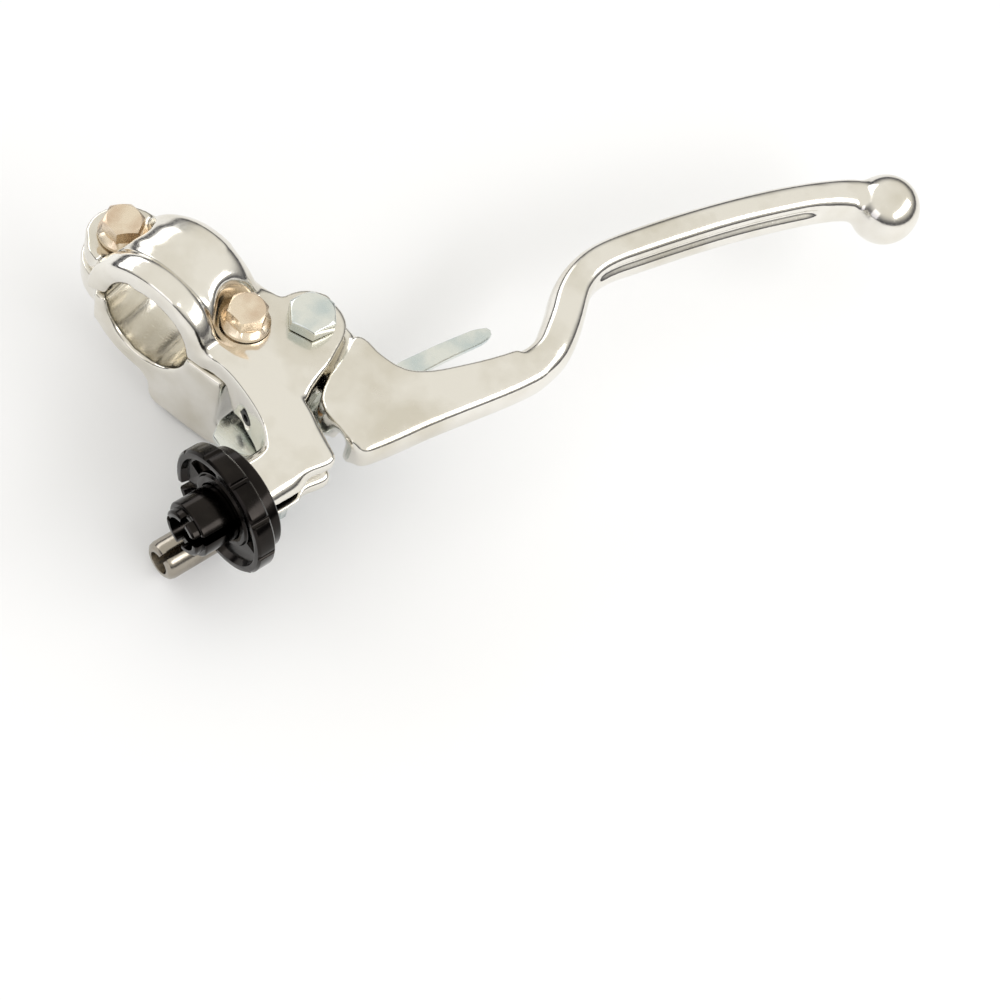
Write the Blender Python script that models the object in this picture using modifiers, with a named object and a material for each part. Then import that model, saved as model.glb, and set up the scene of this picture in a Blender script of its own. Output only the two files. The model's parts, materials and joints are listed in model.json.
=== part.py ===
"""Motorcycle clutch perch with lever, quick adjuster and hot-start lever.

Frame: origin at the centre of the handlebar bore, +X along the bar towards the
grip, +Z along the lever pivot towards the bolt heads, +Y towards the rider.
All driving dimensions are in millimetres and become metres through MM.
"""
import math

import bmesh
import bpy
from mathutils import Matrix, Vector

MM = 0.001

# handlebar clamp
BORE_R = 11.1
CLAMP_X0 = -12.8
CLAMP_X1 = 11.2
ARCH_R = 16.8
ARCH_X1 = 9.7
SPLIT = 0.35
CLAMP_BOLT_Y = 17.0
PLATE_Z = 6.2

# lever pivot
PIVOT = (10.2, -27.2)
SLOT_Z = 3.9
HUB_Z = 3.6
HUB_R = 7.8
LEVER_Z = 4.75
NUT_TOP = -5.9

# cable adjuster: front face centre of the wheel and direction into the perch
WHEEL_C = Vector((-38.1, -40.1, 0.0))
WHEEL_DIR = Vector((math.cos(math.radians(-15.8)), math.sin(math.radians(-15.8)), 0.0))
WHEEL_R = 14.5
WHEEL_T = 4.4
NOSE_AT = 8.2
NOSE_R = 7.0
BARREL_R = 6.4
DETENT_R = 9.2
DETENT_ANGLE = 150

# hot-start lever
HOT_PIVOT = (-3.0, -32.8)
HOT_TOP = -8.3
HOT_T = 1.6
HOT_SLEEVE = 2.9
HOT_SIDE = 4.6
HOT_UP = -20.0
HOT_LUG = (9.0, 16.0)
HOT_TUBE_R = 4.6
HOT_TAB_DEPTH = 21.2

# grub screw in the side wall
GRUB_AT = Vector((-14.6, -29.4, -2.6))
GRUB_DIR = Vector((0.92, -0.39, 0))

# lever tip
BALL_C = Vector((147.0, -113.8, 0.0))
BALL_R = 9.2

POLISHED = (0.80, 0.79, 0.76)
GOLD_ZINC = (0.66, 0.50, 0.31)
CLEAR_ZINC = (0.55, 0.60, 0.60)
BLACK_ANODISED = (0.018, 0.017, 0.018)


def clear_scene():
    for ob in list(bpy.data.objects):
        bpy.data.objects.remove(ob, do_unlink=True)


def material(name, color, roughness, metallic):
    mat = bpy.data.materials.new(name)
    mat.use_nodes = True
    shader = mat.node_tree.nodes["Principled BSDF"]
    shader.inputs["Base Color"].default_value = (*color, 1.0)
    shader.inputs["Roughness"].default_value = roughness
    shader.inputs["Metallic"].default_value = metallic
    return mat


def bake(ob):
    """Apply the object's modifiers and placement to a plain welded mesh."""
    deps = bpy.context.evaluated_depsgraph_get()
    deps.update()
    shape = bpy.data.meshes.new_from_object(ob.evaluated_get(deps))
    shape.transform(ob.matrix_world)
    bm = bmesh.new()
    bm.from_mesh(shape)
    bmesh.ops.remove_doubles(bm, verts=bm.verts, dist=0.002 * MM)
    bmesh.ops.dissolve_degenerate(bm, edges=bm.edges, dist=0.001 * MM)
    bmesh.ops.recalc_face_normals(bm, faces=bm.faces)
    bm.to_mesh(shape)
    bm.free()
    name = ob.name
    bpy.data.objects.remove(ob, do_unlink=True)
    new = bpy.data.objects.new(name, shape)
    bpy.context.scene.collection.objects.link(new)
    bpy.context.view_layer.update()
    return new


def mesh_object(name, bm):
    shape = bpy.data.meshes.new(name)
    bmesh.ops.recalc_face_normals(bm, faces=bm.faces)
    bm.to_mesh(shape)
    bm.free()
    ob = bpy.data.objects.new(name, shape)
    bpy.context.scene.collection.objects.link(ob)
    bpy.context.view_layer.update()
    return ob


def bevel(ob, width, segments=2, angle=50.0):
    mod = ob.modifiers.new("edge", "BEVEL")
    mod.width = width * MM
    mod.segments = segments
    mod.limit_method = "ANGLE"
    mod.angle_limit = math.radians(angle)
    mod.use_clamp_overlap = True
    return bake(ob)


def boolean(ob, tool, how):
    mod = ob.modifiers.new("cut", "BOOLEAN")
    mod.operation = how
    mod.solver = "EXACT"
    mod.object = tool
    out = bake(ob)
    bpy.data.objects.remove(tool, do_unlink=True)
    return out


def cut(ob, *tools):
    for tool in tools:
        ob = boolean(ob, tool, "DIFFERENCE")
    return ob


def join(ob, *tools):
    for tool in tools:
        ob = boolean(ob, tool, "UNION")
    return ob


def keep(ob, tool):
    return boolean(ob, tool, "INTERSECT")


def prism(name, outline, z0, z1, edge=0.0, segments=2):
    """Flat outline in the XY plane given a height from z0 to z1."""
    curve = bpy.data.curves.new(name, "CURVE")
    curve.dimensions = "2D"
    curve.fill_mode = "BOTH"
    curve.extrude = (z1 - z0) / 2 * MM
    edge_line = curve.splines.new("POLY")
    edge_line.points.add(len(outline) - 1)
    for point, (x, y) in zip(edge_line.points, outline):
        point.co = (x * MM, y * MM, 0.0, 1.0)
    edge_line.use_cyclic_u = True
    ob = bpy.data.objects.new(name, curve)
    ob.location = (0, 0, (z0 + z1) / 2 * MM)
    bpy.context.scene.collection.objects.link(ob)
    bpy.context.view_layer.update()
    ob = bake(ob)
    if edge:
        ob = bevel(ob, edge, segments)
    return ob


def prism_along_x(name, outline, x0, x1, edge=0.0):
    """Outline given as (y, z) pairs, extruded from x0 to x1."""
    ob = prism(name, outline, x0, x1, edge)
    turn = Matrix(((0, 0, 1, 0), (1, 0, 0, 0), (0, 1, 0, 0), (0, 0, 0, 1)))
    ob.data.transform(turn)
    return ob


def box(name, lo, hi):
    outline = [(lo[0], lo[1]), (hi[0], lo[1]), (hi[0], hi[1]), (lo[0], hi[1])]
    return prism(name, outline, lo[2], hi[2])


def lathe(name, profile, steps=48, at=(0, 0, 0), along=(0, 0, 1)):
    """Turn (radius, height) points round the axis 'along' through 'at'."""
    shape = bpy.data.meshes.new(name)
    verts = [(r * MM, 0, h * MM) for r, h in profile]
    edges = [(i, i + 1) for i in range(len(verts) - 1)]
    if profile[0][0] > 0 and profile[-1][0] > 0:
        edges.append((len(verts) - 1, 0))
    shape.from_pydata(verts, edges, [])
    ob = bpy.data.objects.new(name, shape)
    mod = ob.modifiers.new("turn", "SCREW")
    mod.angle = math.tau
    mod.steps = steps
    mod.render_steps = steps
    mod.use_merge_vertices = True
    mod.merge_threshold = 0.00001
    ob.location = Vector(at) * MM
    ob.rotation_euler = Vector(along).to_track_quat("Z", "Y").to_euler()
    bpy.context.scene.collection.objects.link(ob)
    bpy.context.view_layer.update()
    return bake(ob)


def rod(name, radius, h0, h1, at=(0, 0, 0), along=(0, 0, 1), steps=32):
    return lathe(name, [(0, h1), (radius, h1), (radius, h0), (0, h0)], steps, at, along)


def hex_prism(name, across_flats, z0, z1, centre, turn=0.0):
    radius = across_flats / 2 / math.cos(math.pi / 6)
    corners = []
    for k in range(6):
        a = turn + k * math.pi / 3
        corners.append((centre[0] + radius * math.cos(a), centre[1] + radius * math.sin(a)))
    return prism(name, corners, z0, z1)


def hex_head(name, across_flats, z0, z1, centre, turn, chamfer=0.7):
    """Hexagon with its top corners turned off by a shallow cone."""
    ob = hex_prism(name, across_flats, z0, z1, centre, turn)
    radius = across_flats / 2 / math.cos(math.pi / 6)
    drop = (radius - across_flats / 2 + chamfer * 0.35) * 0.6
    cone = lathe(name + "_cone", [(0, z1), (across_flats / 2 - chamfer * 0.35, z1), (radius + 0.1, z1 - drop),
                                  (radius + 0.1, z0 - 1), (0, z0 - 1)], 48, (*centre, 0))
    return keep(ob, cone)


def arc(cx, cy, radius, a0, a1, steps):
    out = []
    for i in range(steps + 1):
        a = math.radians(a0 + (a1 - a0) * i / steps)
        out.append((cx + radius * math.cos(a), cy + radius * math.sin(a)))
    return out


def spline(points, per=4):
    """Smooth open Catmull-Rom path through the points."""
    out = []
    n = len(points)
    for i in range(n - 1):
        p0 = points[max(i - 1, 0)]
        p1, p2 = points[i], points[i + 1]
        p3 = points[min(i + 2, n - 1)]
        for k in range(per):
            t = k / per
            out.append(tuple(0.5 * (2 * b + (c - a) * t + (2 * a - 5 * b + 4 * c - d) * t * t
                                    + (3 * b - a - 3 * c + d) * t ** 3)
                             for a, b, c, d in zip(p0, p1, p2, p3)))
    out.append(tuple(points[-1]))
    return out


def loft(name, rings):
    """Closed skin over rings of equal length with flat end caps."""
    bm = bmesh.new()
    rows = [[bm.verts.new(p * MM) for p in ring] for ring in rings]
    n = len(rows[0])
    for a, b in zip(rows, rows[1:]):
        for i in range(n):
            j = (i + 1) % n
            bm.faces.new((a[i], a[j], b[j], b[i]))
    bm.faces.new(rows[0])
    bm.faces.new(list(reversed(rows[-1])))
    return mesh_object(name, bm)


def wheel_point(depth, side=0.0, up=0.0):
    """Point on the adjuster axis: depth inwards, side to the rider, up."""
    across = Vector((-WHEEL_DIR.y, WHEEL_DIR.x, 0.0))
    return WHEEL_C + WHEEL_DIR * depth + across * side + Vector((0, 0, up))


# ---------------------------------------------------------------- perch

def clamp_plan(margin, rear_y=CLAMP_BOLT_Y - 1.2, rear_r=9.2):
    """Plan outline shared by both clamp halves, rounded at the rider's end."""
    rear = arc(0, rear_y, rear_r, 0, 180, 14)
    left, right = CLAMP_X0 - margin, CLAMP_X1 + margin
    return [(right, -40), (right, 8)] + rear + [(left, 12.5), (left, -40)]


def plate_outline():
    rear = clamp_plan(-0.2)[1:-1]
    left = spline([(CLAMP_X0 + 0.2, -10.0), (-12.3, -15.8), (-12.2, -19.4), (-12.8, -23.3),
                   (-14.1, -27.5), (-15.9, -32.0), (-18.2, -36.0), (-21.5, -39.4)], 3)
    front = [(-28.0, -40.8), (-29.6, -45.0), (-27.5, -46.4), (-15.6, -52.6), (-14.2, -52.9), (-13.1, -52.0)]
    right = spline([(-13.1, -52.0), (-11.5, -48.8), (-9.2, -44.4), (-6.6, -40.4), (-4.8, -38.4),
                    (-2.0, -37.8), (4.4, -37.4)], 3)
    boss = arc(PIVOT[0], PIVOT[1], 8.7, -76, 78, 14)
    return rear + left + front + right[1:] + boss + [(CLAMP_X1 - 0.2, -17.2)]


def make_perch():
    plate = prism("perch_body", plate_outline(), -PLATE_Z, PLATE_Z, 1.3)
    under = [(-21.9, SPLIT), (-25.6, -PLATE_Z), (-25.6, -20), (40, -20), (40, SPLIT)]
    plate = cut(plate, prism_along_x("under", under, -40, 0),
                box("behind_ear", (-1.0, -21.75, -20), (CLAMP_X1 + 0.4, 40, SPLIT)))
    nose = lathe("nose", [(0, NOSE_AT), (NOSE_R - 0.8, NOSE_AT), (NOSE_R, NOSE_AT + 0.8), (NOSE_R, 17.8),
                          (NOSE_R - 3, 20.8), (0, 20.8)], 40, WHEEL_C, WHEEL_DIR)
    nose = cut(nose, box("top", (-60, -60, PLATE_Z), (0, 0, 20)),
               box("bottom", (-60, -60, -20), (0, 0, -PLATE_Z)))
    arch_profile = [(0, CLAMP_X0), (ARCH_R - 0.9, CLAMP_X0), (ARCH_R, CLAMP_X0 + 1.0), (ARCH_R + 0.7, -5),
                    (ARCH_R + 0.6, 2), (ARCH_R - 0.3, ARCH_X1 - 2.5), (ARCH_R - 2.4, ARCH_X1), (0, ARCH_X1)]
    arch = lathe("arch", arch_profile, 72, (0, 0, 0), (1, 0, 0))
    arch = cut(arch, box("below", (-40, -40, -40), (40, 40, SPLIT)))
    body = join(plate, nose, arch, *hot_start_lug())
    tube = rod("tube_hole", HOT_TUBE_R + 0.25, 5, 20, wheel_point(0, HOT_SIDE, HOT_UP), WHEEL_DIR, 32)
    body = cut(body, tube, rod("bore", BORE_R, -40, 40, (0, 0, 0), (1, 0, 0), 72))
    body = cut(body, *perch_slot())
    body = cut(body, *perch_holes())
    return body


def hot_start_lug():
    """Web and boss under the nose that hold the hot-start cable adjuster."""
    near, far = HOT_LUG
    corners = [wheel_point(near + 0.6, -1.0), wheel_point(far - 0.6, -1.0),
               wheel_point(far - 0.6, 9.4), wheel_point(near + 0.6, 9.4)]
    web = prism("web", [(p.x, p.y) for p in corners], HOT_UP + 0.7, -4.5)
    boss = rod("boss", 6.2, near, far, wheel_point(0, HOT_SIDE, HOT_UP), WHEEL_DIR, 36)
    return web, boss


def perch_slot():
    """Room between the two ears for the lever hub and its swing."""
    hub = rod("hub_room", 9.4, -SLOT_Z, SLOT_Z, (*PIVOT, 0), steps=40)
    outline = [(PIVOT[0] - 9.0, PIVOT[1] - 2.4), (PIVOT[0] - 8.0, -60), (PIVOT[0] + 30, -60),
               (PIVOT[0] + 30, PIVOT[1] + 3), (PIVOT[0] + 6.5, PIVOT[1] + 6.5)]
    mouth = prism("mouth", outline, -SLOT_Z, SLOT_Z)
    return hub, mouth


def perch_holes():
    clearance = [rod("hole", 3.25, -30, 30, (0, s * CLAMP_BOLT_Y, 0)) for s in (-1, 1)]
    seats = [rod("seat", 6.6, PLATE_Z - 0.25, 30, (0, s * CLAMP_BOLT_Y, 0), steps=40) for s in (-1, 1)]
    pivot = rod("pivot_hole", 3.3, -30, 30, (*PIVOT, 0))
    nut_seat = rod("nut_seat", 6.5, -30, -PLATE_Z + 0.6, (*PIVOT, 0), steps=40)
    hot = rod("hot_hole", 2.15, -30, -1.5, (*HOT_PIVOT, 0), steps=24)
    barrel = rod("barrel_hole", 5.3, NOSE_AT - 5, 17.8, WHEEL_C, WHEEL_DIR, 40)
    cable = rod("cable_hole", 1.6, 5, 60, WHEEL_C, WHEEL_DIR, 24)
    entry = wheel_slit(-1.3, 1.3, NOSE_AT - 5, 45, -20)
    grub = rod("grub_hole", 2.15, -12, 3.2, GRUB_AT, GRUB_DIR, 24)
    return clearance + seats + [pivot, nut_seat, hot, barrel, cable, entry, grub]


def wheel_slit(low, high, depth0, depth1, reach):
    """Thin slit along the adjuster axis, open away from the rider."""
    a = wheel_point(depth0)
    b = wheel_point(depth1)
    c = wheel_point(depth1, reach)
    d = wheel_point(depth0, reach)
    return prism("slit", [(p.x, p.y) for p in (a, b, c, d)], low, high)


# ---------------------------------------------------------------- lower clamp

def make_lower_clamp():
    profile = ([(25.2, -SPLIT), (25.2, -4.6), (21.0, -7.4), (15.8, -8.6), (12.6, -9.9)]
               + arc(0, 0, 16.2, -42, -88, 7)
               + [(-2.0, -18.6), (-2.5, -22.4), (-3.2, -24.0), (-4.8, -25.0), (-20.4, -25.6), (-22.4, -25.0),
                  (-23.4, -23.2), (-23.6, -20.0), (-23.0, -17.6), (-21.6, -16.3), (-21.4, -SPLIT)])
    body = prism_along_x("lower_clamp", profile, CLAMP_X0, CLAMP_X1)
    plan = prism("plan", clamp_plan(2.0, 15.6, 9.9), -40, 10)
    body = keep(body, plan)
    body = cut(body, rod("bore", BORE_R, -40, 40, (0, 0, 0), (1, 0, 0), 48))
    body = cut(body, box("top", (-40, -40, -SPLIT), (40, 40, 20)))
    body = cut(body, rod("hub_relief", HUB_R + 0.5, -HUB_Z - 0.6, 10, (*PIVOT, 0), steps=24))
    threads = [rod("thread", 3.25, -18.5, 5, (0, -CLAMP_BOLT_Y, 0), steps=16),
               rod("thread", 3.25, -30, 5, (0, CLAMP_BOLT_Y, 0), steps=16)]
    return cut(body, *threads)


# ---------------------------------------------------------------- lever

def lever_base_outline():
    rider = spline([(14.9, -36.1), (15.9, -36.9), (16.2, -38.4), (15.9, -40.4), (15.3, -43.0), (15.2, -46.0),
                    (15.6, -48.4), (16.4, -50.6), (17.8, -52.4), (20.2, -54.7), (23.4, -57.0), (29.2, -60.8),
                    (33.6, -63.4), (38.0, -65.7)], 2)
    front = spline([(38.6, -76.0), (31.8, -73.7), (24.4, -70.5), (17.1, -67.1), (7.6, -62.8), (0.0, -59.8),
                    (-6.2, -56.9)], 2)
    end = [(-7.8, -56.4), (-8.6, -55.0), (-6.5, -47.0), (-5.2, -42.8), (-3.0, -40.2), (-0.4, -38.9)]
    inner = [(2.6, -38.2), (10.9, -37.2)]
    return rider + front + end + inner


BLADE = [
    # centre x, y, half width across, half height
    (30.0, -67.2, 5.1, 4.72),
    (37.0, -70.4, 5.0, 4.8),
    (41.0, -71.5, 4.8, 5.0),
    (45.5, -71.7, 4.8, 5.2),
    (51.0, -70.4, 4.9, 5.4),
    (55.8, -68.8, 4.8, 5.5),
    (60.5, -66.9, 4.7, 5.6),
    (65.0, -65.7, 4.5, 5.7),
    (70.0, -65.5, 4.4, 5.8),
    (74.6, -66.2, 4.4, 5.9),
    (79.5, -67.9, 4.4, 6.0),
    (85.3, -70.6, 4.5, 6.1),
    (96.2, -75.9, 4.6, 6.1),
    (107.0, -81.5, 4.6, 6.1),
    (117.8, -87.6, 4.6, 6.0),
    (129.0, -94.6, 4.6, 5.8),
    (135.6, -99.2, 4.6, 5.5),
    (140.4, -103.0, 4.8, 5.2),
    (144.4, -107.3, 5.1, 5.0),
    (146.4, -110.4, 5.2, 4.8),
]


def blade_rings():
    path = spline(BLADE, 3)
    rings = []
    for i, (x, y, half, tall) in enumerate(path):
        a = path[max(i - 1, 0)]
        b = path[min(i + 1, len(path) - 1)]
        along = Vector((b[0] - a[0], b[1] - a[1], 0)).normalized()
        across = Vector((-along.y, along.x, 0))
        ring = []
        for k in range(24):
            t = math.tau * k / 24
            c, s = math.cos(t), math.sin(t)
            u = math.copysign(abs(c) ** 0.72, c) * half
            v = math.copysign(abs(s) ** 0.72, s) * tall
            ring.append(Vector((x, y, 0)) + across * u + Vector((0, 0, v)))
        rings.append(ring)
    return rings


def make_lever():
    base = prism("lever_blade", lever_base_outline(), -LEVER_Z, LEVER_Z, 1.4)
    blade = loft("blade", blade_rings())
    profile = [(0, BALL_R)]
    profile += [(BALL_R * math.sin(math.radians(a)), BALL_R * math.cos(math.radians(a)))
                for a in range(12, 180, 12)]
    profile += [(0, -BALL_R)]
    ball = lathe("ball", profile, 32, BALL_C, (1, -0.9, 0))
    hub = rod("hub", HUB_R, -HUB_Z, HUB_Z, (*PIVOT, 0), steps=48)
    web = prism("web", [(3.4, PIVOT[1] - 2.5), (1.6, -40.5), (14.6, -41), (PIVOT[0] + HUB_R, PIVOT[1] - 0.4)],
                -HUB_Z, HUB_Z)
    body = join(base, blade, ball, hub, web)
    body = cut(body, rod("bush_hole", 5.0, -20, 20, (*PIVOT, 0), steps=40))
    body = cut(body, *cable_pocket())
    return body


def cable_pocket():
    """Blind pocket from below for the cable nipple, with its cable slit."""
    centre = wheel_point(38.0)
    pocket = rod("pocket", 4.2, -20, 2.6, (centre.x, centre.y, 0), steps=32)
    a, b = wheel_point(25, -1.3), wheel_point(38, -1.3)
    c, d = wheel_point(38, 1.3), wheel_point(25, 1.3)
    slit = prism("slit", [(p.x, p.y) for p in (a, b, c, d)], -20, 1.4)
    return pocket, slit


# ---------------------------------------------------------------- fasteners

def make_clamp_bolt(name, y, tip):
    centre = (0, y)
    seat = PLATE_Z + 0.05
    body = lathe(name, [(0, seat + 2.0), (4.3, seat + 2.0), (5.5, seat + 0.9), (5.5, seat), (3.0, seat),
                        (3.0, tip + 0.6), (2.5, tip), (0, tip)], 36, (*centre, 0))
    head = hex_head("head", 8.0, seat + 0.8, seat + 5.55, centre, 0.35)
    return join(body, head)


def make_pivot_bolt():
    seat = PLATE_Z + 0.3
    shank = lathe("pivot_bolt",
                  [(0, seat + 0.3), (3.0, seat + 0.3), (3.0, -12.4), (2.5, -13.0), (0, -13.0)], 32,
                  (*PIVOT, 0))
    head = hex_head("head", 10.0, seat, seat + 3.5, PIVOT, 1.74)
    return join(shank, head)


def make_pivot_nut():
    top = NUT_TOP
    nut = hex_prism("pivot_nut", 10.0, top - 5.0, top, PIVOT)
    collar = rod("collar", 4.7, top - 6.4, top - 4.5, (*PIVOT, 0), steps=36)
    nut = join(nut, collar)
    nut = cut(nut, rod("thread", 3.2, -30, 10, (*PIVOT, 0), steps=32))
    return cut(nut, rod("insert_room", 4.1, top - 6.0, top - 4.0, (*PIVOT, 0), steps=32))


def make_nut_insert():
    top = NUT_TOP
    return lathe("pivot_nut_insert",
                 [(3.9, top - 4.2), (3.9, top - 5.8), (3.25, top - 5.8), (3.25, top - 4.2)], 32,
                 (*PIVOT, 0))


def make_bushing():
    return lathe("pivot_bushing", [(4.8, 3.7), (4.8, -3.7), (3.3, -3.7), (3.3, 3.7)], 40, (*PIVOT, 0))


# ---------------------------------------------------------------- adjuster

def make_wheel():
    body = lathe("adjuster_wheel", [(BARREL_R + 0.3, 0.9), (8.2, 0.9), (8.5, 1.4), (12.2, 1.4), (12.7, 0),
                                    (WHEEL_R - 0.5, 0), (WHEEL_R, 0.5), (WHEEL_R, WHEEL_T - 0.5),
                                    (WHEEL_R - 0.5, WHEEL_T), (BARREL_R + 0.3, WHEEL_T)],
                 72, WHEEL_C, WHEEL_DIR)
    for k in range(10):
        spot = wheel_point(0) + wheel_radial(math.radians(10 + 36 * k)) * (WHEEL_R + 0.15)
        if k != 6:
            body = cut(body, rod("notch", 0.75, -1, WHEEL_T + 1, spot, WHEEL_DIR, 12))
    for k in range(3):
        body = cut(body, wheel_window(-50 + 120 * k))
    return cut(body, radial_slot(-117, 1.1, WHEEL_R + 3, -2, WHEEL_T + 2))


def wheel_radial(angle):
    """Unit direction in the wheel plane, angle from up towards the front."""
    side = Vector((WHEEL_DIR.y, -WHEEL_DIR.x, 0.0))
    return Vector((0, 0, 1)) * math.cos(angle) + side * math.sin(angle)


def sector(name, pairs, d0, d1, side=0.0, up=0.0):
    """Prism in the wheel plane from (radius, degrees) pairs."""
    bm = bmesh.new()
    rows = []
    for depth in (d0, d1):
        row = []
        for radius, degrees in pairs:
            p = wheel_point(depth, side, up) + wheel_radial(math.radians(degrees)) * radius
            row.append(bm.verts.new(p * MM))
        rows.append(row)
    n = len(pairs)
    for i in range(n):
        j = (i + 1) % n
        bm.faces.new((rows[0][i], rows[0][j], rows[1][j], rows[1][i]))
    bm.faces.new(rows[0])
    bm.faces.new(list(reversed(rows[1])))
    return mesh_object(name, bm)


def wheel_window(middle):
    outer = [(11.7, middle - 27 + 6 * i) for i in range(10)]
    inner = [(8.8, middle + 27 - 6 * i) for i in range(10)]
    return sector("window", outer + inner, -2, WHEEL_T + 2)


def radial_slot(degrees, half, reach, d0, d1, side=0.0, up=0.0):
    mid = math.radians(degrees)
    out = wheel_radial(mid)
    sidewise = wheel_radial(mid + math.pi / 2)
    bm = bmesh.new()
    rows = []
    for depth in (d0, d1):
        base = wheel_point(depth, side, up)
        corners = (base - sidewise * half, base + out * reach - sidewise * half,
                   base + out * reach + sidewise * half, base + sidewise * half)
        rows.append([bm.verts.new(p * MM) for p in corners])
    for i in range(4):
        j = (i + 1) % 4
        bm.faces.new((rows[0][i], rows[0][j], rows[1][j], rows[1][i]))
    bm.faces.new(rows[0])
    bm.faces.new(list(reversed(rows[1])))
    return mesh_object("slot", bm)


def make_barrel():
    """Threaded barrel with a deep cable socket and a slit down its whole length."""
    profile = [(3.9, -9.0), (4.9, -9.0), (5.3, -8.6), (5.3, -7.3), (BARREL_R - 0.3, -7.3),
               (BARREL_R, -7.0), (BARREL_R, 7.6), (BARREL_R - 0.3, 7.9), (5.0, 7.9),
               (5.0, 17.2), (1.6, 17.2), (1.6, 0.0), (3.9, 0.0)]
    body = lathe("adjuster_barrel", profile, 48, WHEEL_C, WHEEL_DIR)
    body = cut(body, radial_slot(60, 1.1, 12, -20, 30))
    for degrees in (-90, 0, 180):
        body = cut(body, radial_slot(degrees, 0.8, 12, -20, -7.4))
    return body


def make_collar():
    front, rear = WHEEL_T + 0.3, NOSE_AT - 0.3
    profile = [(BARREL_R + 0.3, front), (11.4, front), (11.8, front + 0.4),
               (11.8, rear - 0.4), (11.4, rear), (BARREL_R + 0.3, rear)]
    ring = lathe("adjuster_collar", profile, 60, WHEEL_C, WHEEL_DIR)
    spot = wheel_point(0) + wheel_radial(math.radians(DETENT_ANGLE)) * DETENT_R
    ring = cut(ring, rod("detent_room", 1.05, 0, WHEEL_T + 2.95, spot, WHEEL_DIR, 20))
    return cut(ring, radial_slot(-90, 1.1, 16, 0, 12))


def detent_at(depth):
    return wheel_point(depth) + wheel_radial(math.radians(DETENT_ANGLE)) * DETENT_R


def make_detent_ball():
    radius = 0.9
    profile = [(radius * math.sin(math.radians(a)), radius * math.cos(math.radians(a)))
               for a in range(0, 181, 18)]
    return lathe("detent_ball", profile, 20, detent_at(WHEEL_T + 1.0), WHEEL_DIR)


def make_detent_spring():
    """Three turns of round wire behind the ball."""
    side = wheel_radial(math.radians(DETENT_ANGLE))
    across = WHEEL_DIR.cross(side)
    curve = bpy.data.curves.new("detent_spring", "CURVE")
    curve.dimensions = "3D"
    curve.bevel_depth = 0.13 * MM
    curve.bevel_resolution = 2
    curve.use_fill_caps = True
    wire = curve.splines.new("POLY")
    count = 42
    wire.points.add(count - 1)
    for i, point in enumerate(wire.points):
        turn = 3 * math.tau * i / (count - 1)
        ring = side * math.cos(turn) + across * math.sin(turn)
        p = detent_at(WHEEL_T + 2.08 + 0.7 * i / (count - 1)) + ring * 0.6
        point.co = (*(p * MM), 1.0)
    ob = bpy.data.objects.new("detent_spring", curve)
    bpy.context.scene.collection.objects.link(ob)
    bpy.context.view_layer.update()
    return bake(ob)


# ---------------------------------------------------------------- hot start

HOT_ARM = [
    # centre x, y and half width of the arm, from the pivot to the finger tip
    (1.5, -37.4, 4.3),
    (4.6, -39.9, 3.5),
    (9.0, -42.0, 3.0),
    (16.0, -44.6, 2.6),
    (25.0, -47.2, 2.5),
    (34.0, -50.3, 2.3),
    (43.6, -54.1, 2.1),
]


def make_hot_lever():
    """Stamped plate: a finger on one side of the pivot, the cable arm on the other."""
    far, near = [], []
    for i, (x, y, half) in enumerate(HOT_ARM):
        x0, y0, _ = HOT_ARM[max(i - 1, 0)]
        x1, y1, _ = HOT_ARM[min(i + 1, len(HOT_ARM) - 1)]
        length = math.hypot(x1 - x0, y1 - y0)
        dx, dy = (x1 - x0) / length, (y1 - y0) / length
        far.append((x - dy * half, y + dx * half))
        near.append((x + dy * half, y - dx * half))
    tip = [(46.1, -53.3), (47.4, -54.4), (47.5, -55.4), (46.6, -56.4), (45.0, -56.5)]
    tab_front, tab_rear = wheel_point(HOT_TAB_DEPTH + 0.8, 0.3), wheel_point(HOT_TAB_DEPTH - 0.8, 9.0)
    tab_corner = wheel_point(HOT_TAB_DEPTH - 0.8, 0.3)
    cable_arm = [(-4.0, -38.6), (-9.5, -43.4), (tab_front.x, tab_front.y), (tab_corner.x, tab_corner.y),
                 (tab_rear.x, tab_rear.y), (-19.2, -33.0), (-20.6, -28.4), (-19.4, -25.2),
                 (-15.4, -23.8), (-9.6, -24.6), (-4.0, -26.6), (0.2, -27.6), (3.0, -30.2)]
    outline = far + tip + list(reversed(near)) + cable_arm
    body = prism("hot_start_lever", outline, HOT_TOP - HOT_T, HOT_TOP, 0.25, 1)
    body = cut(body, rod("pivot_hole", HOT_SLEEVE + 0.3, -30, 0, (*HOT_PIVOT, 0), steps=28))
    corners = [wheel_point(HOT_TAB_DEPTH - 0.8, 0.3), wheel_point(HOT_TAB_DEPTH + 0.8, 0.3),
               wheel_point(HOT_TAB_DEPTH + 0.8, 9.0), wheel_point(HOT_TAB_DEPTH - 0.8, 9.0)]
    tab = prism("tab", [(p.x, p.y) for p in corners], HOT_UP - 4.0, HOT_TOP - 0.2)
    body = join(body, tab)
    return cut(body, radial_slot(180, 1.0, 12, 10, 30, HOT_SIDE, HOT_UP + 1.0))


def make_hot_adjuster():
    """Slit tube with a rounded mouth, for the hot-start cable's outer."""
    profile = [(2.75, -9.6), (3.6, -9.6), (4.3, -9.1), (HOT_TUBE_R, -8.2), (HOT_TUBE_R, 17.5),
               (HOT_TUBE_R - 0.6, 18.1), (1.1, 18.1), (1.1, 14.0), (2.75, 14.0)]
    body = lathe("hot_start_adjuster", profile, 40, wheel_point(0, HOT_SIDE, HOT_UP), WHEEL_DIR)
    return cut(body, radial_slot(16, 0.75, 8, -20, 30, HOT_SIDE, HOT_UP))


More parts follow.
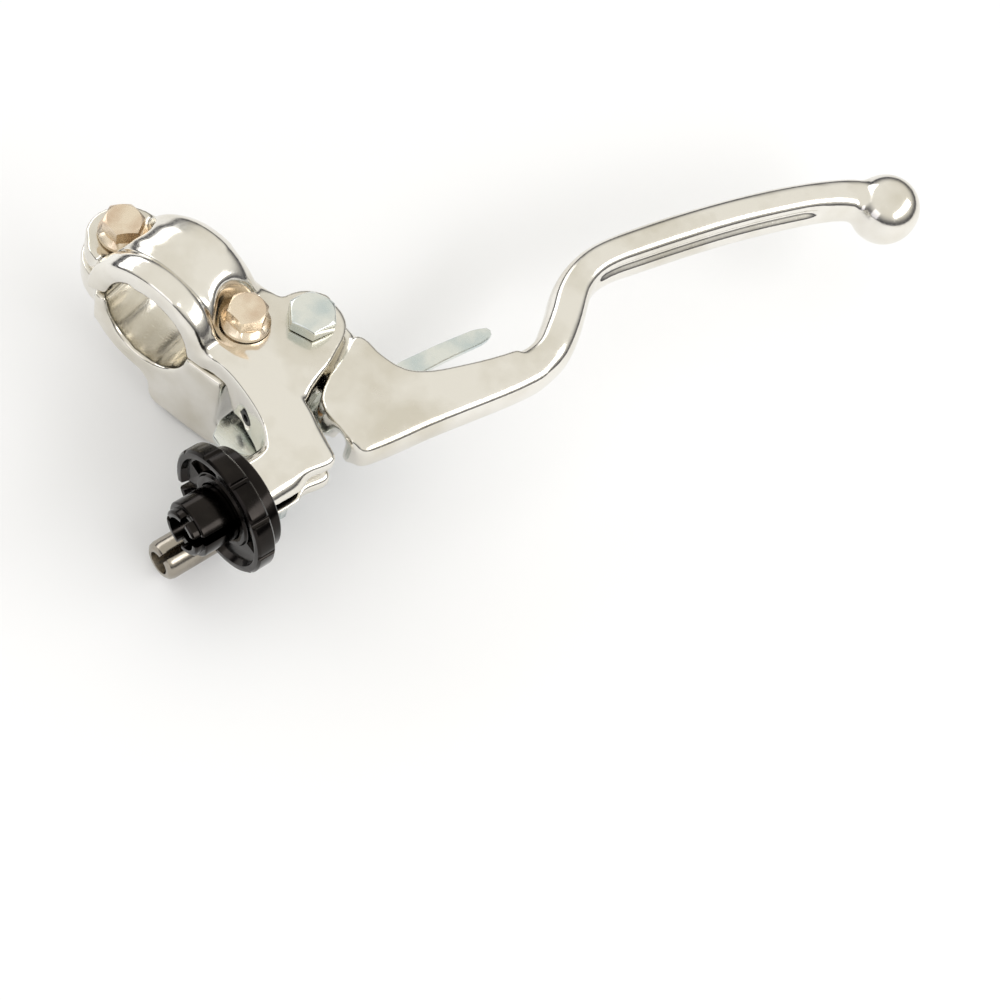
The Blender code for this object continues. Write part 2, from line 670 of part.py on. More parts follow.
def make_hot_lock_nut():
    """Hexagon nut that locks the adjuster tube against its boss."""
    inner = HOT_TUBE_R + 0.25
    outer = 5.8 / math.cos(math.pi / 6)
    profile = [(inner, 5.6), (outer - 0.5, 5.6), (outer, 6.1), (outer, 8.2), (outer - 0.5, 8.7), (inner, 8.7)]
    body = lathe("hot_start_lock_nut", profile, 48, wheel_point(0, HOT_SIDE, HOT_UP), WHEEL_DIR)
    flats = [(outer, 30 + 60 * k) for k in range(6)]
    return keep(body, sector("flats", flats, 4, 10, HOT_SIDE, HOT_UP))


def make_hot_screw():
    low = HOT_TOP - HOT_T - 1.2
    profile = [(0, -1.8), (1.6, -1.8), (2.0, -2.2), (2.0, low), (4.0, low), (4.0, low - 2.0),
               (3.4, low - 2.6), (0, low - 2.6)]
    head = lathe("hot_start_screw", profile, 32, (*HOT_PIVOT, 0))
    return cut(head, hex_prism("socket", 2.5, low - 4.0, low - 1.0, HOT_PIVOT, 0.2))


def make_hot_bushing():
    top, low = -PLATE_Z - 0.3, HOT_TOP - HOT_T - 0.3
    profile = [(4.6, top), (4.6, HOT_TOP + 1.0), (HOT_SLEEVE, HOT_TOP + 1.0),
               (HOT_SLEEVE, low), (2.3, low), (2.3, top)]
    return lathe("hot_start_bushing", profile, 32, (*HOT_PIVOT, 0))


def make_hot_washer(name, top, thick, inner):
    outline = [(4.5, top), (4.5, top - thick), (inner, top - thick), (inner, top)]
    return lathe(name, outline, 32, (*HOT_PIVOT, 0))


def make_set_screw():
    body = rod("set_screw", 1.9, 0.2, 2.9, GRUB_AT, GRUB_DIR, 24)
    socket = rod("socket", 1.0, -3, 1.6, GRUB_AT, GRUB_DIR, 6)
    return cut(body, socket)


def finish(ob, mat, origin):
    """Give the piece its material and put its origin on its own axis."""
    ob.data.materials.clear()
    ob.data.materials.append(mat)
    ob.data.transform(Matrix.Translation(-origin * MM))
    ob.location = origin * MM
    ob.data.shade_smooth()
    ob.data.set_sharp_from_angle(angle=math.radians(35))


def main():
    clear_scene()
    polished = material("polished aluminium", POLISHED, 0.16, 1.0)
    gold = material("yellow zinc plated steel", GOLD_ZINC, 0.30, 1.0)
    clear_zinc = material("clear zinc plated steel", CLEAR_ZINC, 0.34, 1.0)
    black = material("black anodised aluminium", BLACK_ANODISED, 0.36, 0.5)
    bronze = material("sintered bronze", (0.44, 0.29, 0.14), 0.5, 1.0)
    nylon = material("white nylon", (0.78, 0.78, 0.75), 0.55, 0.0)
    dark_steel = material("black oxide steel", (0.05, 0.05, 0.055), 0.45, 0.9)
    bore = Vector((0, 0, 0))
    pivot = Vector((*PIVOT, 0))
    hot = Vector((*HOT_PIVOT, HOT_TOP))
    front, rear = Vector((0, -CLAMP_BOLT_Y, PLATE_Z)), Vector((0, CLAMP_BOLT_Y, PLATE_Z))
    under_lever = HOT_TOP - HOT_T - 0.45
    pieces = [
        (make_perch(), polished, bore),
        (make_lower_clamp(), polished, bore),
        (make_lever(), polished, pivot),
        (make_clamp_bolt("clamp_bolt_front", -CLAMP_BOLT_Y, -17.5), gold, front),
        (make_clamp_bolt("clamp_bolt_rear", CLAMP_BOLT_Y, -10.0), gold, rear),
        (make_pivot_bolt(), clear_zinc, pivot),
        (make_pivot_nut(), clear_zinc, pivot),
        (make_nut_insert(), nylon, pivot),
        (make_bushing(), bronze, pivot),
        (make_wheel(), black, WHEEL_C),
        (make_barrel(), black, WHEEL_C),
        (make_collar(), black, WHEEL_C),
        (make_detent_ball(), clear_zinc, detent_at(WHEEL_T + 1.0)),
        (make_detent_spring(), clear_zinc, detent_at(WHEEL_T + 2.0)),
        (make_hot_lever(), clear_zinc, hot),
        (make_hot_adjuster(), clear_zinc, wheel_point(0, HOT_SIDE, HOT_UP)),
        (make_hot_lock_nut(), clear_zinc, wheel_point(0, HOT_SIDE, HOT_UP)),
        (make_hot_screw(), dark_steel, hot),
        (make_hot_bushing(), bronze, hot),
        (make_hot_washer("hot_start_thrust_washer", HOT_TOP + 0.85, 0.7, HOT_SLEEVE + 0.3), nylon, hot),
        (make_hot_washer("hot_start_washer", under_lever, 0.6, 2.3), clear_zinc, hot),
        (make_set_screw(), dark_steel, GRUB_AT),
    ]
    home = bpy.data.collections.new("clutch_lever")
    bpy.context.scene.collection.children.link(home)
    for ob, mat, origin in pieces:
        finish(ob, mat, origin)
        bpy.context.scene.collection.objects.unlink(ob)
        home.objects.link(ob)


main()
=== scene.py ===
import json
import math

import bmesh
import bpy
import numpy as np
from mathutils import Matrix, Vector


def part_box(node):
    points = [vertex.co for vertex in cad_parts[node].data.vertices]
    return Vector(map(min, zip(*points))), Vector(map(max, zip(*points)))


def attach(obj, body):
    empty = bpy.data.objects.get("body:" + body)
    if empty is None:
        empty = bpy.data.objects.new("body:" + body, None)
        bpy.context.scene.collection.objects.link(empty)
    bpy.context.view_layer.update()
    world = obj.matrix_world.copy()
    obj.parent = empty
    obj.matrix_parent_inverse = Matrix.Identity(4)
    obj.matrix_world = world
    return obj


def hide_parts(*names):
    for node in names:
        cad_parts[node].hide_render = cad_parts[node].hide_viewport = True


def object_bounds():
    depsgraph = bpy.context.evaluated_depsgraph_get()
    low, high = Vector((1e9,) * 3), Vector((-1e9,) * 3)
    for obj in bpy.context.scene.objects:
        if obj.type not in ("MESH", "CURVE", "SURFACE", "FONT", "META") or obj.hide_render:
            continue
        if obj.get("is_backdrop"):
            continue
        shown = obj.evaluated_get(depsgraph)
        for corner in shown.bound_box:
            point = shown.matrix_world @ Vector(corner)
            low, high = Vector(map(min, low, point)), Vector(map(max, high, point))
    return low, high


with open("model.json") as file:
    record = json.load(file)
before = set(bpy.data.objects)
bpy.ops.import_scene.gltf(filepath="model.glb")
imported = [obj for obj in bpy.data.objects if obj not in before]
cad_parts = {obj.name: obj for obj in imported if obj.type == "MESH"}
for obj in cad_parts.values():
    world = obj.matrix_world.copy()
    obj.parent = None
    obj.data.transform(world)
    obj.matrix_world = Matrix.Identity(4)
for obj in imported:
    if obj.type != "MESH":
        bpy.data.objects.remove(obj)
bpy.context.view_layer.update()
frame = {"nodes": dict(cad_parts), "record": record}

mm = 0.001
scene = bpy.context.scene
record = frame["record"]
bodyOf = {node: body for body, nodes in record["behaviour"]["bodies"].items() for node in nodes}
slotOf = {part["node"]: part["material_slot"] for part in record["subparts"]}


# camera

cameraValues = {
    "azimuth": -78.83,  # degrees round the object, 0 looks along +Y
    "elevation": 57.23,
    "roll": 26.21,
    "place": (-187.8, -121.1, 305.0),  # mm
    "lens": 59.93,
    "shift": (0.0037, -0.0024),
}


def addCamera(values):
    turn, tilt, roll = (math.radians(values[key]) for key in ("azimuth", "elevation", "roll"))
    back = Vector((math.sin(turn) * math.cos(tilt), -math.cos(turn) * math.cos(tilt), math.sin(tilt)))
    side = Vector((math.cos(turn), math.sin(turn), 0))
    top = back.cross(side)
    right = side * math.cos(roll) + top * math.sin(roll)
    up = back.cross(right)
    data = bpy.data.cameras.new("camera")
    data.lens = values["lens"]
    data.shift_x, data.shift_y = values["shift"]
    data.clip_start = 0.01
    camera = bpy.data.objects.new("camera", data)
    camera.matrix_world = Matrix((right, up, back)).transposed().to_4x4()
    camera.location = Vector(values["place"]) * mm
    scene.collection.objects.link(camera)
    scene.camera = camera


addCamera(cameraValues)
print("camera placed")


# small helpers

def toLinear(code):
    parts = [int(code[i:i + 2], 16) / 255 for i in (1, 3, 5)]
    return [p / 12.92 if p <= 0.04045 else ((p + 0.055) / 1.055) ** 2.4 for p in parts] + [1.0]


def addNode(tree, kind, settings=None, inputs=None, links=None):
    node = tree.nodes.new(kind)
    for key, value in (settings or {}).items():
        setattr(node, key, value)
    for key, value in (inputs or {}).items():
        node.inputs[key].default_value = value
    for key, source in (links or {}).items():
        tree.links.new(source, node.inputs[key])
    return node


def linkObject(name, mesh):
    thing = bpy.data.objects.new(name, mesh)
    scene.collection.objects.link(thing)
    return thing


def evaluatedMesh(thing):
    bpy.context.view_layer.update()
    mesh = bpy.data.meshes.new_from_object(thing.evaluated_get(bpy.context.evaluated_depsgraph_get()))
    bpy.data.objects.remove(thing)
    return mesh


# finishes: what each metal is and how it was made
# rough is the lowest and highest roughness; wave, grain and hairline are a size in mm and a strength

finishes = {
    "polished_aluminium": {  # gravity-cast aluminium, buffed: soft waves and fine hairlines in a warm shine
        "name": "buffedCastAluminium",
        "colour": "#EBE8E1",
        "stain": "#D9D4C8",
        "rough": (0.09, 0.17),
        "wave": (7.0, 0.18),
        "grain": (0.5, 0.05),
        "hairline": (0.22, 0.10),
        "pit": 0.10,
        "metallic": 1.0,
    },
    "gold_bolt": {  # steel with yellow zinc: straw colour with pinkish patches
        "name": "yellowZincSteel",
        "colour": "#EBDDC8",
        "stain": "#D6C0A8",
        "rough": (0.18, 0.30),
        "wave": (2.5, 0.10),
        "grain": (0.35, 0.10),
        "hairline": (0.18, 0.08),
        "pit": 0.15,
        "metallic": 1.0,
    },
    "clear_zinc": {  # steel with clear blue zinc: cool grey with faint green
        "name": "blueZincSteel",
        "colour": "#E3E6E1",
        "stain": "#CAD4D4",
        "rough": (0.15, 0.26),
        "wave": (3.0, 0.10),
        "grain": (0.35, 0.10),
        "hairline": (0.20, 0.08),
        "pit": 0.12,
        "metallic": 1.0,
    },
    "black_anodised": {  # turned aluminium, black anodised: satin with a brown cast
        "name": "blackAnodisedAluminium",
        "colour": "#2B2826",
        "stain": "#1D1B1A",
        "rough": (0.10, 0.18),
        "wave": (4.0, 0.06),
        "grain": (0.3, 0.07),
        "hairline": (0.16, 0.06),
        "pit": 0.10,
        "metallic": 1.0,
    },
    "bronze": {  # sintered bronze, open pores
        "name": "sinteredBronze",
        "colour": "#B98A55",
        "stain": "#96693C",
        "rough": (0.35, 0.55),
        "wave": (2.0, 0.05),
        "grain": (0.25, 0.25),
        "hairline": (0.2, 0.03),
        "pit": 0.4,
        "metallic": 1.0,
    },
    "nylon": {  # natural nylon, moulded: milky and a little waxy
        "name": "naturalNylon",
        "colour": "#E4E2DA",
        "stain": "#D5D2C6",
        "rough": (0.38, 0.5),
        "wave": (2.0, 0.08),
        "grain": (0.3, 0.08),
        "hairline": (0.3, 0.02),
        "pit": 0.05,
        "metallic": 0.0,
    },
    "black_steel": {  # steel with black oxide, oiled
        "name": "blackOxideSteel",
        "colour": "#3B3A3C",
        "stain": "#2A2A2C",
        "rough": (0.3, 0.45),
        "wave": (2.0, 0.08),
        "grain": (0.3, 0.12),
        "hairline": (0.2, 0.06),
        "pit": 0.15,
        "metallic": 0.9,
    },
}


surface = {  # heights and spacing in mm, shared by all the finishes
    "waveHeight": 0.12,
    "lineHeight": 0.02,
    "grainHeight": 0.02,
    "pitDepth": 0.04,
    "pitSpacing": 1.1,
    "lineTurn": -24,  # degrees round the piece's upright axis
    "scuffTurn": 31,
    "scuffSize": 1.6,  # times the hairline's size
    "patchSize": 2.4,  # times the wave's size
    "scuffRough": 0.10,
    "patchRough": 0.05,
}


def finishMaterial(values):
    material = bpy.data.materials.new(values["name"])
    material.use_nodes = True
    tree = material.node_tree
    tree.nodes.clear()
    place = addNode(tree, "ShaderNodeTexCoord").outputs["Object"]
    waveSize, waveHeight = values["wave"]
    grainSize, grainHeight = values["grain"]
    lineSize, lineHeight = values["hairline"]

    brushed = addNode(tree, "ShaderNodeMapping", {"vector_type": "POINT"},
                      {"Scale": (0.06, 1.0, 1.0), "Rotation": (0.3, 0.2, math.radians(surface["lineTurn"]))},
                      {"Vector": place}).outputs["Vector"]
    crossed = addNode(tree, "ShaderNodeMapping", {"vector_type": "POINT"},
                      {"Scale": (1.0, 0.05, 1.0), "Rotation": (0.5, 0.1, math.radians(surface["scuffTurn"]))},
                      {"Vector": place}).outputs["Vector"]
    fields = {}
    for name, size, detail, source in (
            ("waves", waveSize, 2.0, place), ("grain", grainSize, 3.0, place),
            ("lines", lineSize, 2.0, brushed), ("scuffs", lineSize * surface["scuffSize"], 1.0, crossed),
            ("patches", waveSize * surface["patchSize"], 4.0, place)):
        fields[name] = addNode(tree, "ShaderNodeTexNoise", {"noise_dimensions": "3D"},
                               {"Scale": 1 / (size * mm), "Detail": detail, "Roughness": 0.5},
                               {"Vector": source}).outputs["Fac"]
    fields["pits"] = addNode(tree, "ShaderNodeTexVoronoi", {"feature": "F1"},
                             {"Scale": 1 / (surface["pitSpacing"] * mm)},
                             {"Vector": place}).outputs["Distance"]
    low, high = values["rough"]
    spread = {}
    for name, source, fromLow, fromHigh, toLow, toHigh in (
            ("scuffs", "scuffs", 0.66, 0.74, 0.0, 1.0), ("pits", "pits", 0.05, 0.12, 1.0, 0.0),
            ("patches", "patches", 0.42, 0.66, 0.0, 1.0), ("base", "grain", 0.3, 0.7, low, high)):
        spread[name] = addNode(tree, "ShaderNodeMapRange", {"clamp": True},
                               {"From Min": fromLow, "From Max": fromHigh, "To Min": toLow, "To Max": toHigh},
                               {"Value": fields[source]}).outputs["Result"]

    colour = addNode(tree, "ShaderNodeMix", {"data_type": "RGBA"},
                     {"A": toLinear(values["colour"]), "B": toLinear(values["stain"])},
                     {"Factor": spread["patches"]})
    rough = spread["base"]
    for name in ("scuffs", "patches"):  # scuffed and stained places are a little duller
        more = surface["scuffRough"] if name == "scuffs" else surface["patchRough"]
        rough = addNode(tree, "ShaderNodeMath", {"operation": "MULTIPLY_ADD"}, {1: more},
                        {0: spread[name], 2: rough}).outputs["Value"]
    normal = None
    for height, depth, strength in (
            (fields["waves"], surface["waveHeight"], waveHeight),
            (fields["lines"], surface["lineHeight"], lineHeight),
            (fields["grain"], surface["grainHeight"], grainHeight),
            (spread["pits"], -surface["pitDepth"], values["pit"])):
        links = {"Height": height} | ({"Normal": normal} if normal else {})
        normal = addNode(tree, "ShaderNodeBump", None, {"Strength": strength, "Distance": depth * mm},
                         links).outputs["Normal"]
    shader = addNode(tree, "ShaderNodeBsdfPrincipled", None, {"Metallic": values["metallic"]},
                     {"Base Color": colour.outputs["Result"], "Roughness": rough, "Normal": normal})
    addNode(tree, "ShaderNodeOutputMaterial", None, None, {"Surface": shader.outputs["BSDF"]})
    return material


materials = {slot: finishMaterial(values) for slot, values in finishes.items()}
ownFinish = {  # painted shade: the hot-start adjuster's zinc is coloured darker and greyer than the rest, standing in for the shade it lies in beside the dark wheel
    "hot_start_adjuster": finishMaterial(finishes["clear_zinc"] | {
        "name": "shadeDarkenedZincSteel", "colour": "#A39C91", "stain": "#827B70", "rough": (0.14, 0.24)}),
}
print("finishes made:", len(materials))


# cast pieces: the foundry's rounds are put on the machined outline

castPieces = {  # softSide faces the shoulder that is rounded most, up to softEnd along x
    "perch_body": {"name": "perchBody", "voxel": 0.42, "softSide": (0.20, -0.98, 0.0), "softEnd": 90.0,
                   "round": 9, "shoulder": 60, "fill": 60},
    "lower_clamp": {"name": "lowerClamp", "voxel": 0.42, "softSide": (0.0, -1.0, 0.0), "softEnd": 90.0,
                    "round": 9, "shoulder": 20, "fill": 60},
    "lever_blade": {"name": "leverBlade", "voxel": 0.42, "softSide": (-0.30, -0.95, 0.0), "softEnd": 64.0,
                    "round": 16, "shoulder": 150, "fill": 60},
}
rounding = {
    "pull": 0.6,  # how far a point goes towards the middle of its neighbours in one pass
    "facing": 0.5,  # cosine of the widest turn away from softSide
    "rings": 12,  # the soft zone grows this many points past its edge, about 5 mm
    "growth": 1.6,
    "endFade": 14,  # mm
    "heldRadius": 6.0,  # mm round a bolt
    "held": 0.15,  # share of the rounding that is left there
}
archGroove = {"at": -6.2, "halfWidth": 2.4, "depth": 1.1, "inner": 13.0, "rise": 8.0}
bladeFlute = {"from": 66.0, "to": 134.0, "fade": 7.0, "height": 1.5, "halfWidth": 2.2, "depth": 1.5,
              "faces": (-0.40, -0.92, 0.0)}


def mergedCopy(node):
    mesh = frame["nodes"][node].data.copy()
    shape = bmesh.new()
    shape.from_mesh(mesh)
    bmesh.ops.remove_doubles(shape, verts=shape.verts, dist=0.000001)
    shape.to_mesh(mesh)
    shape.free()
    mesh.materials.clear()
    return mesh


def smoothStep(value):
    value = np.clip(value, 0, 1)
    return value * value * (3 - 2 * value)


def valleyShape(away, halfWidth):
    return np.exp(-(away / (halfWidth / 1.6)) ** 2)  # down to a thirteenth at halfWidth


def nearHole(points):
    # machined places keep their size: the bolt seats and their holes
    held = np.zeros(len(points), bool)
    for node in ("clamp_bolt_front", "clamp_bolt_rear", "pivot_bolt"):
        low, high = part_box(node)
        centre = [(low[i] + high[i]) / 2 for i in range(2)]
        away = np.hypot(points[:, 0] - centre[0], points[:, 1] - centre[1])
        held |= away < rounding["heldRadius"] * mm
    return held


def readPoints(mesh):
    points = np.zeros(len(mesh.vertices) * 3)
    mesh.vertices.foreach_get("co", points)
    return points.reshape(-1, 3)


def readNormals(mesh):
    normals = np.zeros(len(mesh.vertices) * 3)
    mesh.vertex_normals.foreach_get("vector", normals)
    return normals.reshape(-1, 3)


def writePoints(mesh, points):
    mesh.vertices.foreach_set("co", points.ravel())
    mesh.update()


def roundOver(mesh, values):
    points = readPoints(mesh)
    count = len(points)
    pairs = np.zeros(len(mesh.edges) * 2, int)
    mesh.edges.foreach_get("vertices", pairs)
    first, second = pairs.reshape(-1, 2).T
    number = np.bincount(first, minlength=count) + np.bincount(second, minlength=count)

    def aroundMean(field):
        return (np.bincount(first, field[second], count) + np.bincount(second, field[first], count)) / number

    shoulder = (readNormals(mesh) @ np.array(values["softSide"]) > rounding["facing"]).astype(float)
    for _ in range(rounding["rings"]):
        shoulder = np.maximum(shoulder, np.minimum(aroundMean(shoulder) * rounding["growth"], 1.0))
    shoulder *= smoothStep((values["softEnd"] - points[:, 0] / mm) / rounding["endFade"])
    free = np.where(nearHole(points), rounding["held"], 1.0)
    for step in range(max(values["round"], values["shoulder"], values["fill"])):
        outward = readNormals(mesh)
        mean = np.stack([aroundMean(points[:, axis]) for axis in range(3)], 1)
        convex = 1.0 if step < values["round"] else shoulder * (step < values["shoulder"])
        concave = float(step < values["fill"])
        inward = ((mean - points) * outward).sum(1) < 0
        points += (mean - points) * (rounding["pull"] * free * np.where(inward, convex, concave))[:, None]
        writePoints(mesh, points)


def cutArchGroove(mesh, values):
    # a soft valley runs over the arch between its end band and its middle
    points = readPoints(mesh)
    outward = readNormals(mesh)
    radius = np.hypot(points[:, 1], points[:, 2])
    valley = valleyShape(points[:, 0] / mm - values["at"], values["halfWidth"])
    rise = np.clip(points[:, 2] / (values["rise"] * mm), 0, 1)
    facing = (outward[:, 1] * points[:, 1] + outward[:, 2] * points[:, 2]) / radius
    depth = valley * smoothStep(rise) * (radius > values["inner"] * mm) * np.clip(facing, 0, 1)
    writePoints(mesh, points - outward * (depth * values["depth"] * mm)[:, None])


def cutBladeFlute(mesh, values):
    # a long flute lightens the blade's outer side from the grip's bend nearly to the ball
    points = readPoints(mesh)
    outward = readNormals(mesh)
    along = points[:, 0] / mm
    ends = smoothStep((along - values["from"]) / values["fade"])
    ends *= smoothStep((values["to"] - along) / values["fade"])
    across = valleyShape(points[:, 2] / mm - values["height"], values["halfWidth"])
    facing = smoothStep((outward @ np.array(values["faces"]) - 0.2) / 0.5)
    writePoints(mesh, points - outward * (ends * across * facing * values["depth"] * mm)[:, None])


def castPiece(node, values):
    thing = linkObject("rough", mergedCopy(node))
    remesh = thing.modifiers.new("skin", "REMESH")
    remesh.mode = "VOXEL"
    remesh.voxel_size = values["voxel"] * mm
    mesh = evaluatedMesh(thing)
    roundOver(mesh, values)
    if node == "perch_body":
        cutArchGroove(mesh, archGroove)
    if node == "lever_blade":
        cutBladeFlute(mesh, bladeFlute)
    mesh.shade_smooth()
    return mesh


def finished(name, mesh, node):
    mesh.name = name
    mesh.materials.clear()
    mesh.materials.append(ownFinish.get(node, materials[slotOf[node]]))
    piece = linkObject(name, mesh)
    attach(piece, bodyOf[node])
    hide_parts(node)
    return piece


for node, values in castPieces.items():
    piece = finished(values["name"], castPiece(node, values), node)
    print("cast", piece.name, len(piece.data.polygons), "faces")


# turned, forged and stamped pieces: a broken edge on every corner

brokenEdges = {  # mm
    "clamp_bolt_front": 0.22, "clamp_bolt_rear": 0.22, "pivot_bolt": 0.25, "pivot_nut": 0.18,
    "pivot_nut_insert": 0.10, "pivot_bushing": 0.12, "adjuster_wheel": 0.28, "adjuster_barrel": 0.20,
    "adjuster_collar": 0.22, "hot_start_lever": 0.28, "hot_start_adjuster": 0.14, "hot_start_lock_nut": 0.16,
    "hot_start_screw": 0.12, "hot_start_bushing": 0.10, "hot_start_thrust_washer": 0.06,
    "hot_start_washer": 0.08, "set_screw": 0.08, "detent_ball": 0.0, "detent_spring": 0.0,
}


edgeWork = {"segments": 3, "bevelAngle": 32, "sharpAngle": 24, "flatAngle": 0.6}  # angles in degrees


def camel(node):
    first, *rest = node.split("_")
    return first + "".join(word.capitalize() for word in rest)


def machinedPiece(node, edge):
    mesh = mergedCopy(node)
    shape = bmesh.new()
    shape.from_mesh(mesh)
    bmesh.ops.dissolve_limit(shape, angle_limit=math.radians(edgeWork["flatAngle"]),
                             verts=shape.verts, edges=shape.edges)
    shape.to_mesh(mesh)
    shape.free()
    thing = linkObject("rough", mesh)
    if edge > 0:
        bevel = thing.modifiers.new("edge", "BEVEL")
        bevel.width = edge * mm
        bevel.segments = edgeWork["segments"]
        bevel.limit_method = "ANGLE"
        bevel.angle_limit = math.radians(edgeWork["bevelAngle"])
    mesh = evaluatedMesh(thing)
    mesh.shade_smooth()
    mesh.set_sharp_from_angle(angle=math.radians(edgeWork["sharpAngle"]))
    return mesh


for node, edge in brokenEdges.items():
    finished(camel(node), machinedPiece(node, edge), node)
print("machined pieces:", len(brokenEdges))


# screw threads, as one Geometry Nodes tree

threads = {  # mm
    "clamp_bolt_front": {"radius": 2.85, "pitch": 1.0, "length": 9.0, "from": 0.6},
    "clamp_bolt_rear": {"radius": 2.85, "pitch": 1.0, "length": 6.0, "from": 0.6},
    "pivot_bolt": {"radius": 2.85, "pitch": 1.0, "length": 6.6, "from": 0.6},
}


threadForm = {"ridge": 0.26, "turnSteps": 40, "sides": 6}  # the ridge's radius in mm, steps in a turn


def threadTree():
    tree = bpy.data.node_groups.new("threadTurns", "GeometryNodeTree")
    for name, kind in (("Radius", "NodeSocketFloat"), ("Pitch", "NodeSocketFloat"),
                       ("Length", "NodeSocketFloat"), ("Ridge", "NodeSocketFloat"),
                       ("Finish", "NodeSocketMaterial")):
        tree.interface.new_socket(name, in_out="INPUT", socket_type=kind)
    tree.interface.new_socket("Geometry", in_out="OUTPUT", socket_type="NodeSocketGeometry")
    given = addNode(tree, "NodeGroupInput").outputs
    turns = addNode(tree, "ShaderNodeMath", {"operation": "DIVIDE"}, None,
                    {0: given["Length"], 1: given["Pitch"]})
    coil = addNode(tree, "GeometryNodeCurveSpiral", None, {"Resolution": threadForm["turnSteps"]},
                   {"Rotations": turns.outputs["Value"], "Start Radius": given["Radius"],
                    "End Radius": given["Radius"], "Height": given["Length"]})
    ridge = addNode(tree, "GeometryNodeCurvePrimitiveCircle", {"mode": "RADIUS"},
                    {"Resolution": threadForm["sides"]},
                    {"Radius": given["Ridge"]})
    solid = addNode(tree, "GeometryNodeCurveToMesh", None, {"Fill Caps": True},
                    {"Curve": coil.outputs["Curve"], "Profile Curve": ridge.outputs["Curve"]})
    real = addNode(tree, "GeometryNodeRealizeInstances", None, None, {"Geometry": solid.outputs["Mesh"]})
    coat = addNode(tree, "GeometryNodeSetMaterial", None, None,
                   {"Geometry": real.outputs["Geometry"], "Material": given["Finish"]})
    addNode(tree, "NodeGroupOutput", None, None, {"Geometry": coat.outputs["Geometry"]})
    return tree


def threadPiece(tree, node, values):
    low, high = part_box(node)
    start = Vector(((low[0] + high[0]) / 2, (low[1] + high[1]) / 2, low[2] + values["from"] * mm))
    thing = linkObject("rough", bpy.data.meshes.new("rough"))
    modifier = thing.modifiers.new("turns", "NODES")
    modifier.node_group = tree
    inputs = {"Radius": values["radius"] * mm, "Pitch": values["pitch"] * mm, "Length": values["length"] * mm,
              "Ridge": threadForm["ridge"] * mm, "Finish": materials[slotOf[node]]}
    for item in tree.interface.items_tree:
        if item.in_out == "INPUT":
            modifier[item.identifier] = inputs[item.name]
    mesh = evaluatedMesh(thing)
    mesh.transform(Matrix.Translation(start))
    mesh.shade_smooth()
    name = camel(node) + "Thread"
    mesh.name = name
    piece = linkObject(name, mesh)
    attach(piece, bodyOf[node])


turnsTree = threadTree()
for node, values in threads.items():
    threadPiece(turnsTree, node, values)
print("threads cut:", len(threads))


# floor and light

studio = {
    "floor": "#F2F3F6",
    "floorSize": 14.0,  # m
    "floorGap": 0.0002,  # m under the lowest point
    "floorGlow": 0.03,
    "floorRough": (0.45, 0.60),
    "paperGrain": 900.0,  # fibres in a metre
    "sky": (0.93, 0.91, 0.85),
    "horizon": (0.07, 0.07, 0.08),
    "horizonBand": (0.05, 0.55),  # sine of the height where the dark ends and the sky is full
    "skyStrength": 1.0,
}
lamps = {  # away and size in m, power in W
    "frontStrip": {"from": (0.10, -0.80, 0.60), "away": 0.7, "size": (0.9, 0.22), "power": 2.2,
                   "colour": (1.0, 1.0, 1.0)},
    "backStrip": {"from": (0.10, 0.95, 0.40), "away": 0.7, "size": (0.9, 0.25), "power": 1.2,
                  "colour": (0.97, 0.98, 1.0)},
    "endPanel": {"from": (-0.95, 0.15, 0.30), "away": 0.6, "size": (0.3, 0.3), "power": 0.25,
                 "colour": (0.95, 0.93, 1.0)},
}


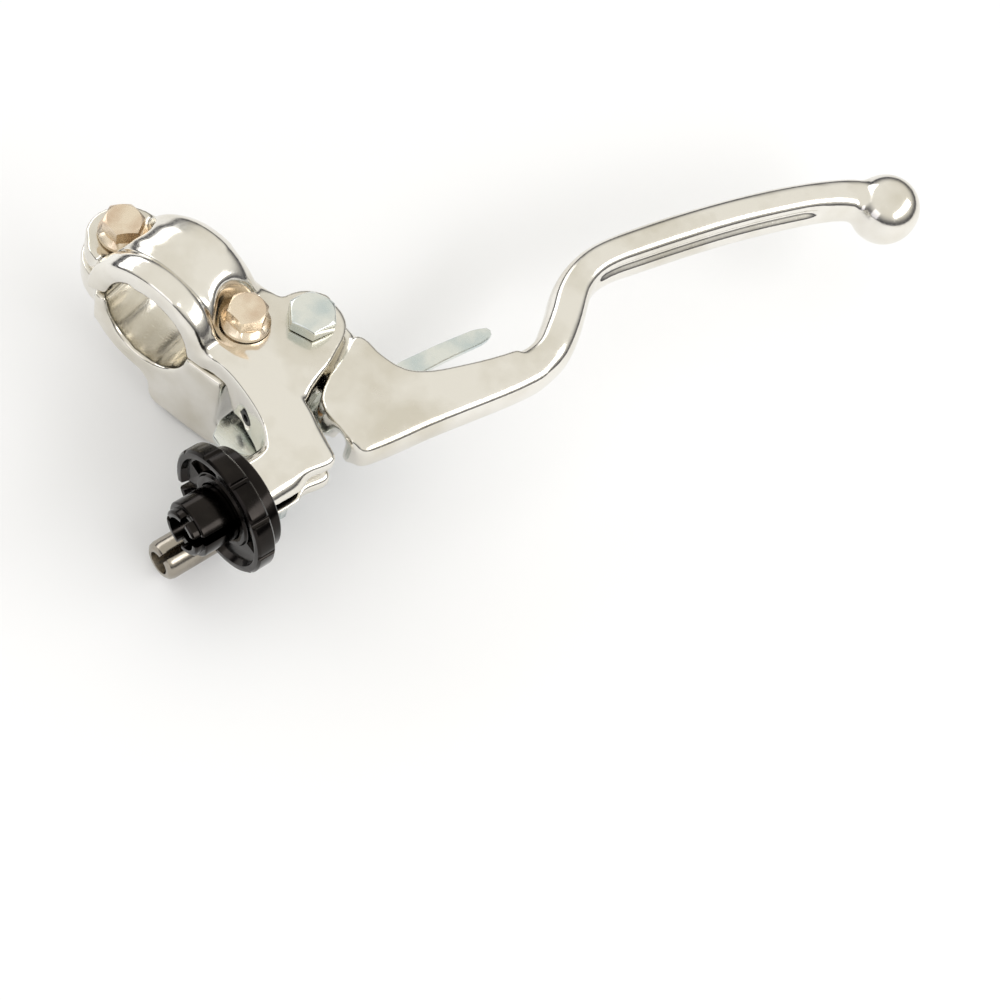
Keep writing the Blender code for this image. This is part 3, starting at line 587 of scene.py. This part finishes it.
def addFloor(values):
    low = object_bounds()[0]
    half = values["floorSize"] / 2
    mesh = bpy.data.meshes.new("floor")
    height = low[2] - values["floorGap"]
    corners = [(x, y, height) for x, y in ((-half, -half), (half, -half), (half, half), (-half, half))]
    mesh.from_pydata(corners, [], [(0, 1, 2, 3)])
    material = bpy.data.materials.new("paperSweep")
    material.use_nodes = True
    tree = material.node_tree
    shader = tree.nodes["Principled BSDF"]
    shader.inputs["Base Color"].default_value = toLinear(values["floor"])
    shader.inputs["Emission Color"].default_value = toLinear(values["floor"])
    shader.inputs["Emission Strength"].default_value = values["floorGlow"]
    grain = addNode(tree, "ShaderNodeTexNoise", None, {"Scale": values["paperGrain"], "Detail": 2.0},
                    {"Vector": addNode(tree, "ShaderNodeTexCoord").outputs["Object"]})
    smooth, dull = values["floorRough"]
    rough = addNode(tree, "ShaderNodeMapRange", None, {"To Min": smooth, "To Max": dull},
                    {"Value": grain.outputs["Fac"]})
    tree.links.new(rough.outputs["Result"], shader.inputs["Roughness"])
    mesh.materials.append(material)
    floor = linkObject("floor", mesh)
    floor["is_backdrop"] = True


def addWorld(values):
    world = bpy.data.worlds.new("studio")
    world.use_nodes = True
    tree = world.node_tree
    tree.nodes.clear()
    heading = addNode(tree, "ShaderNodeSeparateXYZ", None, None,
                      {"Vector": addNode(tree, "ShaderNodeTexCoord").outputs["Generated"]})
    dark, full = values["horizonBand"]
    height = addNode(tree, "ShaderNodeMapRange", {"interpolation_type": "SMOOTHSTEP"},
                     {"From Min": dark, "From Max": full}, {"Value": heading.outputs["Z"]})
    colour = addNode(tree, "ShaderNodeMix", {"data_type": "RGBA"},
                     {"A": (*values["horizon"], 1.0), "B": (*values["sky"], 1.0)},
                     {"Factor": height.outputs["Result"]})
    back = addNode(tree, "ShaderNodeBackground", None, {"Strength": values["skyStrength"]},
                   {"Color": colour.outputs["Result"]})
    addNode(tree, "ShaderNodeOutputWorld", None, None, {"Surface": back.outputs["Background"]})
    scene.world = world


def addLamp(name, values, target):
    data = bpy.data.lights.new(name, "AREA")
    data.shape = "RECTANGLE"
    data.size, data.size_y = values["size"]
    data.energy = values["power"]
    data.color = values["colour"]
    lamp = bpy.data.objects.new(name, data)
    heading = Vector(values["from"]).normalized()
    lamp.location = target + heading * values["away"]
    lamp.rotation_euler = heading.to_track_quat("Z", "Y").to_euler()
    scene.collection.objects.link(lamp)


low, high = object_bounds()
middle = (Vector(low) + Vector(high)) / 2
addFloor(studio)
addWorld(studio)
for name, values in lamps.items():
    addLamp(name, values, middle)
scene.view_settings.view_transform = "Standard"
print("studio lit with", len(lamps), "lamps")
